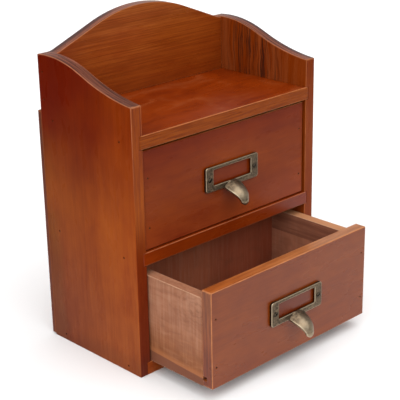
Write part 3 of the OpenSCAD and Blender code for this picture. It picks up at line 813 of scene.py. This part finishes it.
def tongue_mesh(mesh, steps=44, ribs=16):
    """Finger tongue that leaves the lower bar, curves forwards and hangs down."""
    path = [bezier(TONGUE_PATH, i / steps) for i in range(steps + 1)]
    total = sum((b - a).length for a, b in zip(path, path[1:]))
    root_w, tip_r, thick, crown = (TONGUE[k] for k in ("root_w", "tip_r", "t", "crown"))
    taper = 1 - tip_r / total
    rings = []
    for i, at in enumerate(path):
        way = (path[min(i + 1, steps)] - path[max(i - 1, 0)]).normalized()
        up = Vector((way.y, -way.x))
        s = i / steps
        k = min(s / taper, 1)
        w = root_w + (tip_r - root_w) * (0.65 * k + 0.35 * k * k)
        if s >= taper:
            w = max(math.sqrt(max(tip_r ** 2 - ((s - taper) * total) ** 2, 0)), 0.6)
        ring = []
        for j in range(2 * ribs + 2):
            u = 2 * min(j, 2 * ribs + 1 - j) / ribs - 1
            rise = crown * w / root_w * (1 - u * u) - (thick if j > ribs else 0)
            q = at + up * rise
            ring.append(mesh.verts.new(Vector((w * u, q.x, q.y)) * MM))
        rings.append(ring)
    size = len(rings[0])
    for a, b in zip(rings, rings[1:]):
        for j in range(size):
            mesh.faces.new((a[j], a[(j + 1) % size], b[(j + 1) % size], b[j]))
    mesh.faces.new(rings[0])
    mesh.faces.new(rings[-1])


def pull_mesh():
    """Label frame with its finger tongue, one casting."""
    outline = []
    for a, b, turn in ((1, -1, -90), (1, 1, 0), (-1, 1, 90), (-1, -1, 180)):
        for k in range(7):
            t = math.radians(turn + 15 * k)
            outline.append((
                a * (PULL_W / 2 - PULL_CORNER) + PULL_CORNER * math.cos(t),
                b * (PULL_H / 2 - PULL_CORNER) + PULL_CORNER * math.sin(t),
                0,
            ))
    plate = slab(outline, -PULL_T, 0, "y", 0.45)
    x0, z0, x1, z1 = WINDOW
    window = [((x0, -PULL_T - 1, z0), (x1, 1, z1))]
    margin = LABEL_MARGIN
    slot = [((x0 - margin, -LABEL_SLOT, z0 - margin), (x1 + margin, 1, z0 + PULL_H))]
    holes = [((x, -PULL_T, 0), (0, 1, 0), PULL_T + 1) for x in (-SCREW_SPACING / 2, SCREW_SPACING / 2)]
    plate = cut_out(plate, box_cutter(window), box_cutter(slot), screw_cutter(holes))
    mesh = bmesh.new()
    mesh.from_mesh(plate)
    bpy.data.meshes.remove(plate)
    tongue = bmesh.new()
    tongue_mesh(tongue)
    bmesh.ops.recalc_face_normals(tongue, faces=tongue.faces)
    tongue_data = as_data(tongue, "tongue")
    mesh.from_mesh(tongue_data)
    bpy.data.meshes.remove(tongue_data)
    data = remeshed(as_data(mesh, "pull"), VOXEL, 4)
    cad_lo, cad_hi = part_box("upper_pull")
    for vertex in data.vertices:
        vertex.co.y = min(max(vertex.co.y, cad_lo.y - cad_hi.y), 0)
    set_convexity(data, 1.6, lambda p: 0.3 * np.clip((-p[:, 1] - PULL_T - 1) / 7, 0, 1))
    return data


def screw_mesh(angle):
    """Slotted screw with a domed head, its axis along Y and its head's underside at 0."""
    rings = [(0.0, SCREW_LEN), (0.15, SCREW_LEN - 0.1), (SCREW_R, SCREW_LEN - 2.4), (SCREW_R, 0.0), (HEAD_R - 0.06, 0.0)]
    for i in range(7):
        t = math.pi / 2 * i / 6
        rings.append((HEAD_R * math.cos(t) ** 0.75 if i < 6 else 0.0, -0.15 - (HEAD_H - 0.15) * math.sin(t)))
    steps = 32
    mesh = bmesh.new()
    rows = []
    for r, y in rings:
        turns = [math.tau * k / steps for k in range(steps)] if r else [0]
        rows.append([mesh.verts.new(Vector((r * math.cos(t), y, r * math.sin(t))) * MM) for t in turns])
    for a, b in zip(rows, rows[1:]):
        for k in range(steps):
            m = (k + 1) % steps
            if len(a) == 1:
                mesh.faces.new((a[0], b[k], b[m]))
            elif len(b) == 1:
                mesh.faces.new((a[k], b[0], a[m]))
            else:
                mesh.faces.new((a[k], b[k], b[m], a[m]))
    bmesh.ops.recalc_face_normals(mesh, faces=mesh.faces)
    slot = bmesh.new()
    place = Matrix.Rotation(math.radians(angle), 4, "Y") @ Matrix.Translation(Vector((0, -HEAD_H, 0)) * MM)
    shape = Matrix.Diagonal(Vector((SLOT_W, 1.1, 2 * HEAD_R + 1, 1)) * MM)
    shape[3][3] = 1
    bmesh.ops.create_cube(slot, size=1, matrix=place @ shape)
    return cut_out(as_data(mesh, "screw"), slot)


def build_pull(which, centre, casting, materials):
    obj = new_object(f"{which}_pull_casting", casting)
    obj.location = centre * MM
    for polygon in casting.polygons:
        polygon.use_smooth = True
    casting.materials.clear()
    casting.materials.append(materials["antique_brass"])
    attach(obj, f"{which}_drawer")
    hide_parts(f"{which}_pull")
    angles = (35, -62) if which == "upper" else (-28, 74)
    for side, angle in zip((-1, 1), angles):
        data = screw_mesh(angle)
        data.materials.clear()
        data.materials.append(materials["screw_metal"])
        screw = new_object(f"{which}_pull_screw_{'left' if side < 0 else 'right'}", data)
        screw.location = (centre + Vector((side * SCREW_SPACING / 2, -PULL_T, 0))) * MM
        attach(screw, f"{which}_drawer")
        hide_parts(f"{which}_pull_screws")


# Floor and light


def build_stage():
    floor_mesh = bmesh.new()
    corners = [(-0.38, -0.55, 0), (4, -0.55, 0), (4, 5, 0), (-0.38, 5, 0)]
    floor_mesh.faces.new([floor_mesh.verts.new(c) for c in corners])
    data = bpy.data.meshes.new("floor")
    floor_mesh.to_mesh(data)
    floor_mesh.free()
    floor = new_object("floor", data)
    material, tree = new_material("pale_floor")
    shader = add(tree, "ShaderNodeBsdfPrincipled")
    shader.inputs["Base Color"].default_value = colour(0.9, 0.9, 0.9)
    shader.inputs["Roughness"].default_value = 0.9
    add(tree, "ShaderNodeOutputMaterial", {"Surface": shader.outputs[0]})
    data.materials.append(material)


def build_world():
    world = bpy.data.worlds.new("studio")
    bpy.context.scene.world = world
    world.use_nodes = True
    tree = world.node_tree
    tree.nodes.clear()
    way = add(tree, "ShaderNodeTexCoord").outputs["Generated"]
    height = add(tree, "ShaderNodeSeparateXYZ", {0: way}).outputs[2]
    sky = mix(tree, span(tree, height, -0.02, 0.02), colour(0.02, 0.02, 0.02), colour(1, 1, 1))
    seen = add(tree, "ShaderNodeBackground", {"Color": colour(1, 1, 1), "Strength": 1.0})
    light = add(tree, "ShaderNodeBackground", {"Color": sky, "Strength": 0.6})
    ray = add(tree, "ShaderNodeLightPath").outputs["Is Camera Ray"]
    both = add(tree, "ShaderNodeMixShader", {0: ray, 1: light.outputs[0], 2: seen.outputs[0]})
    add(tree, "ShaderNodeOutputWorld", {"Surface": both.outputs[0]})


def soft_light(name, way, width, power):
    """Distant soft light that comes from way, width degrees wide."""
    data = bpy.data.lights.new(name, "SUN")
    data.energy, data.angle = power, math.radians(width)
    obj = bpy.data.objects.new(name, data)
    bpy.context.scene.collection.objects.link(obj)
    obj.rotation_euler = (-Vector(way)).to_track_quat("-Z", "Y").to_euler()


camera()
materials = make_materials()
build_case(materials)
casting = pull_mesh()
for which in ("upper", "lower"):
    build_pull(which, build_drawer(which, materials), casting, materials)
for obj in frame["nodes"].values():
    if not obj.hide_render:
        slot = next(s["material_slot"] for s in frame["record"]["subparts"] if s["node"] == obj.name)
        obj.data.materials.clear()
        obj.data.materials.append(materials[slot])
build_stage()
build_world()
soft_light("key", (-0.1, -0.55, 1.0), 80, 1.55)
soft_light("lamp", (-0.1, -0.5, 1.0), 30, 0.3)
soft_light("ceiling", (0.1, 0.05, 1.0), 30, 0.25)
soft_light("fill", (-1.0, -0.35, 0.45), 70, 1.4)
bpy.context.scene.view_settings.view_transform = "Standard"
